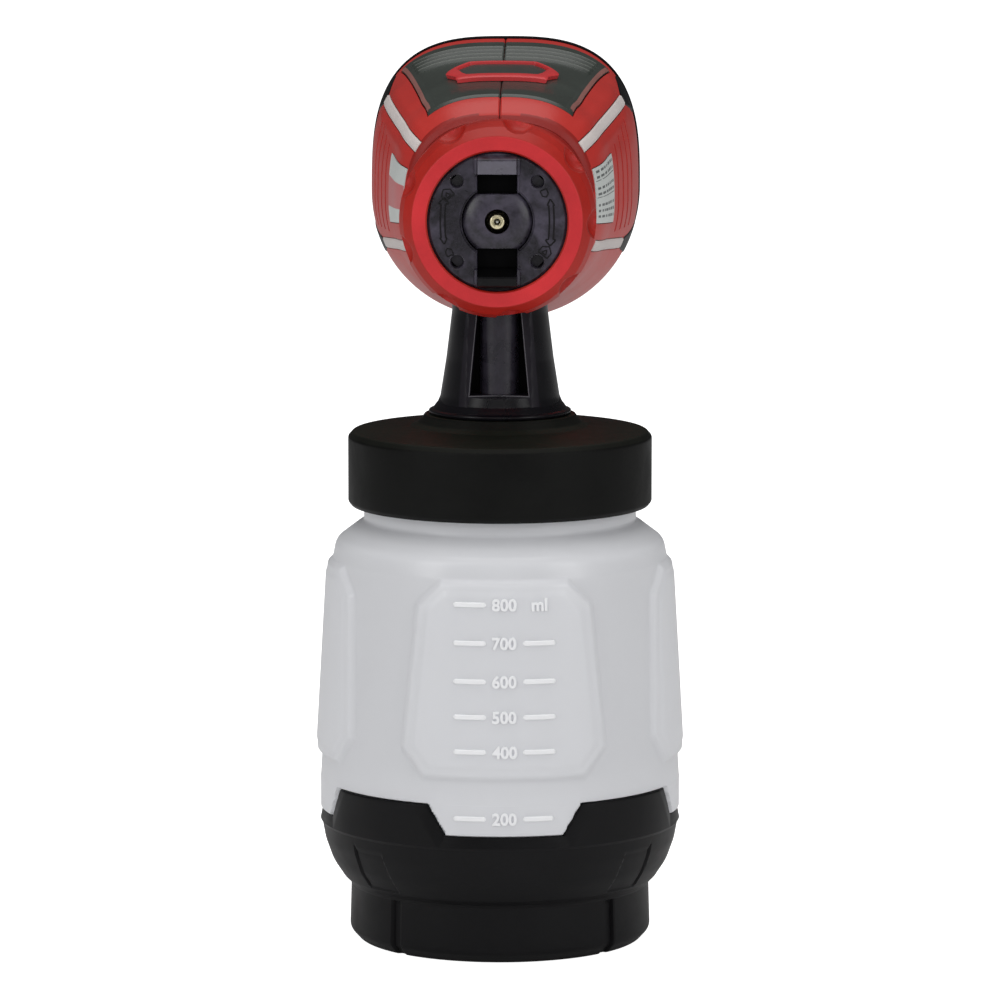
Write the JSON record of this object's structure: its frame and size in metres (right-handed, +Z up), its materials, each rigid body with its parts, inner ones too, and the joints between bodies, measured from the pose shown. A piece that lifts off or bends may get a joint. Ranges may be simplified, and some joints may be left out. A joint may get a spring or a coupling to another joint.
{
  "type": "hvlp spray gun",
  "caption": "Corded HVLP paint sprayer: red motor housing with handle and trigger, black spray head with a scalloped union ring, and a translucent paint pot on a stepped black base.",
  "frame": {"origin": "centre of the flat underside of the pot's foot, on the container's axis", "axes": "+Z up along the container's axis, nozzle faces -Y, handle and rear cap towards +Y, +X is to the right when looking along +Y from in front of the nozzle"},
  "size_m": [0.1144, 0.2032, 0.2772],
  "materials": {
    "black_plastic": "satin black moulded plastic",
    "gloss_black_plastic": "slightly glossy black moulded plastic",
    "milky_plastic": "translucent milky polyethylene",
    "seal_rubber": "matte black elastomer",
    "grey_plastic": "matte grey plastic",
    "tube_plastic": "smooth pale tube plastic",
    "brass": "turned brass",
    "steel": "machined steel",
    "laminated_steel": "varnished steel laminations",
    "red_plastic": "satin red moulded plastic",
    "ring_red_plastic": "fine-textured red plastic",
    "dark_red_plastic": "satin dark red plastic",
    "panel_plastic": "satin dark grey-green plastic",
    "pale_plastic": "frosted pale grey plastic",
    "label_film": "satin printed film, left plain",
    "soft_rubber": "soft matte black elastomer",
    "filter_foam": "open-cell foam",
    "cord_rubber": "matte black flexible rubber"
  },
  "bodies": {
    "gun": {"pot_lid": "black_plastic", "pot_gasket": "seal_rubber", "check_valve_disc": "seal_rubber", "check_valve_cap": "grey_plastic", "spray_head": "black_plastic", "tube_seal": "seal_rubber", "fluid_nozzle": "brass", "nozzle_seal": "seal_rubber", "packing_nut": "brass", "needle_spring": "steel", "spring_cap": "black_plastic", "head_collar": "dark_red_plastic", "housing_right": "red_plastic", "housing_left": "red_plastic", "top_panel_right": "panel_plastic", "top_panel_left": "panel_plastic", "badge_frame": "ring_red_plastic", "badge_plate": "panel_plastic", "accent_strip_ur": "pale_plastic", "accent_strip_ul": "pale_plastic", "accent_strip_lr": "pale_plastic", "accent_strip_ll": "pale_plastic", "label_right": "label_film", "label_left": "label_film", "handle_grip": "soft_rubber", "rear_cap": "black_plastic", "motor_can": "steel", "bearing_front": "steel", "motor_endbell": "black_plastic", "bearing_rear": "steel", "motor_mount": "grey_plastic", "fan_housing": "grey_plastic", "trigger_pin": "steel", "power_switch": "black_plastic", "power_cord": "cord_rubber", "cord_boot": "cord_rubber", "housing_screw_1": "steel", "housing_screw_2": "steel", "housing_screw_3": "steel", "housing_screw_4": "steel"},
    "pot": {"container": "milky_plastic", "pot_base": "black_plastic"},
    "ring": {"cap_ring": "ring_red_plastic"},
    "air_cap": {"air_cap": "gloss_black_plastic"},
    "trigger": {"trigger": "black_plastic"},
    "knob": {"flow_knob": "dark_red_plastic"},
    "needle": {"fluid_needle": "steel", "pull_link": "steel"},
    "plunger": {"switch_plunger": "grey_plastic"},
    "rotor": {"motor_shaft": "steel", "armature": "laminated_steel", "impeller": "grey_plastic"},
    "filter": {"filter_cover": "black_plastic", "air_filter": "filter_foam"},
    "dip_tube": {"suction_tube": "tube_plastic"}
  },
  "joints": [
    {"name": "pot_unscrew", "type": "hinge", "parent": "gun", "child": "pot", "pos_m": [0, 0, 0.143], "axis": [0, 0, 1], "range_deg": [0, 270]},
    {"name": "ring_turn", "type": "hinge", "parent": "gun", "child": "ring", "pos_m": [0, -0.03, 0.229], "axis": [0, -1, 0], "range_deg": [0, 270]},
    {"name": "air_cap_turn", "type": "hinge", "parent": "gun", "child": "air_cap", "pos_m": [0, -0.04, 0.229], "axis": [0, -1, 0], "range_deg": [-90, 90]},
    {"name": "trigger_pull", "type": "hinge", "parent": "gun", "child": "trigger", "pos_m": [0, 0.066, 0.208], "axis": [1, 0, 0], "range_deg": [0, 14], "stiffness_Nm_per_rad": 0.6},
    {"name": "knob_turn", "type": "hinge", "parent": "trigger", "child": "knob", "pos_m": [0, 0.05, 0.171], "axis": [0, -1, 0], "range_deg": [0, 270]},
    {"name": "needle_slide", "type": "slide", "parent": "gun", "child": "needle", "axis": [0, 1, 0], "range_m": [0, 0.0022]},
    {"name": "plunger_slide", "type": "slide", "parent": "gun", "child": "plunger", "axis": [0, 1, 0], "range_m": [0, 0.0078]},
    {"name": "motor_spin", "type": "hinge", "parent": "gun", "child": "rotor", "pos_m": [0, 0.05, 0.229], "axis": [0, -1, 0], "continuous": true},
    {"name": "filter_pull", "type": "slide", "parent": "gun", "child": "filter", "axis": [0, 1, 0], "range_m": [0, 0.04]},
    {"name": "dip_tube_turn", "type": "hinge", "parent": "gun", "child": "dip_tube", "pos_m": [0, 0, 0.158], "axis": [0, 0, 1], "range_deg": [0, 180]}
  ],
  "couplings": [
    {"joint": "needle_slide", "follows": "trigger_pull", "m_per_rad": 0.0085},
    {"joint": "plunger_slide", "follows": "trigger_pull", "m_per_rad": 0.031}
  ]
}
